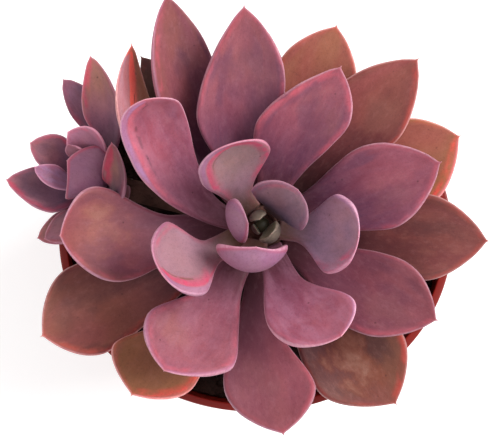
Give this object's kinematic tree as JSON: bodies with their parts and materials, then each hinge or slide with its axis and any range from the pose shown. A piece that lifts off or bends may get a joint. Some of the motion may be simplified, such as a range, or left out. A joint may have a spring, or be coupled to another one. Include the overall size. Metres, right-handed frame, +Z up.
{
  "type": "potted debbie graptoveria",
  "caption": "Mauve-pink rosette succulent with thick pointed leaves and a smaller side rosette, growing in soil in an oval terracotta-red plastic nursery pot.",
  "frame": {"origin": "middle of the pot's base, on the surface that it stands on", "axes": "+Z up; +X to the right and +Y up the page when the rosette is seen from straight above, so the small offset is at -X +Y; the pot's long way is along X"},
  "size_m": [0.1237, 0.11, 0.128],
  "materials": {
    "pot_plastic": "satin",
    "soil": "matte",
    "stem": "matte",
    "leaf_young": "matte",
    "leaf": "matte",
    "leaf_old": "matte"
  },
  "bodies": {
    "root": {"pot": "pot_plastic", "soil": "soil", "stem": "stem", "leaf_01": "leaf_young", "leaf_02": "leaf_young", "leaf_03": "leaf_young", "leaf_04": "leaf_young", "leaf_05": "leaf_young", "leaf_06": "leaf_young", "leaf_07": "leaf", "leaf_08": "leaf", "leaf_09": "leaf", "leaf_10": "leaf", "leaf_11": "leaf", "leaf_12": "leaf", "leaf_13": "leaf", "leaf_14": "leaf", "leaf_15": "leaf", "leaf_16": "leaf", "leaf_17": "leaf_old", "leaf_18": "leaf_old", "leaf_19": "leaf_old", "leaf_20": "leaf_old", "leaf_21": "leaf_old", "leaf_22": "leaf_old", "leaf_23": "leaf_old", "leaf_24": "leaf_old", "leaf_25": "leaf_old", "leaf_26": "leaf_old", "leaf_27": "leaf_old", "heart": "leaf_young", "offset_leaf_01": "leaf", "offset_leaf_02": "leaf", "offset_leaf_03": "leaf", "offset_leaf_04": "leaf", "offset_leaf_05": "leaf", "offset_leaf_06": "leaf", "offset_leaf_07": "leaf", "offset_leaf_08": "leaf", "offset_leaf_09": "leaf", "offset_leaf_10": "leaf", "offset_leaf_11": "leaf", "offset_heart": "leaf_young"}
  },
  "joints": []
}
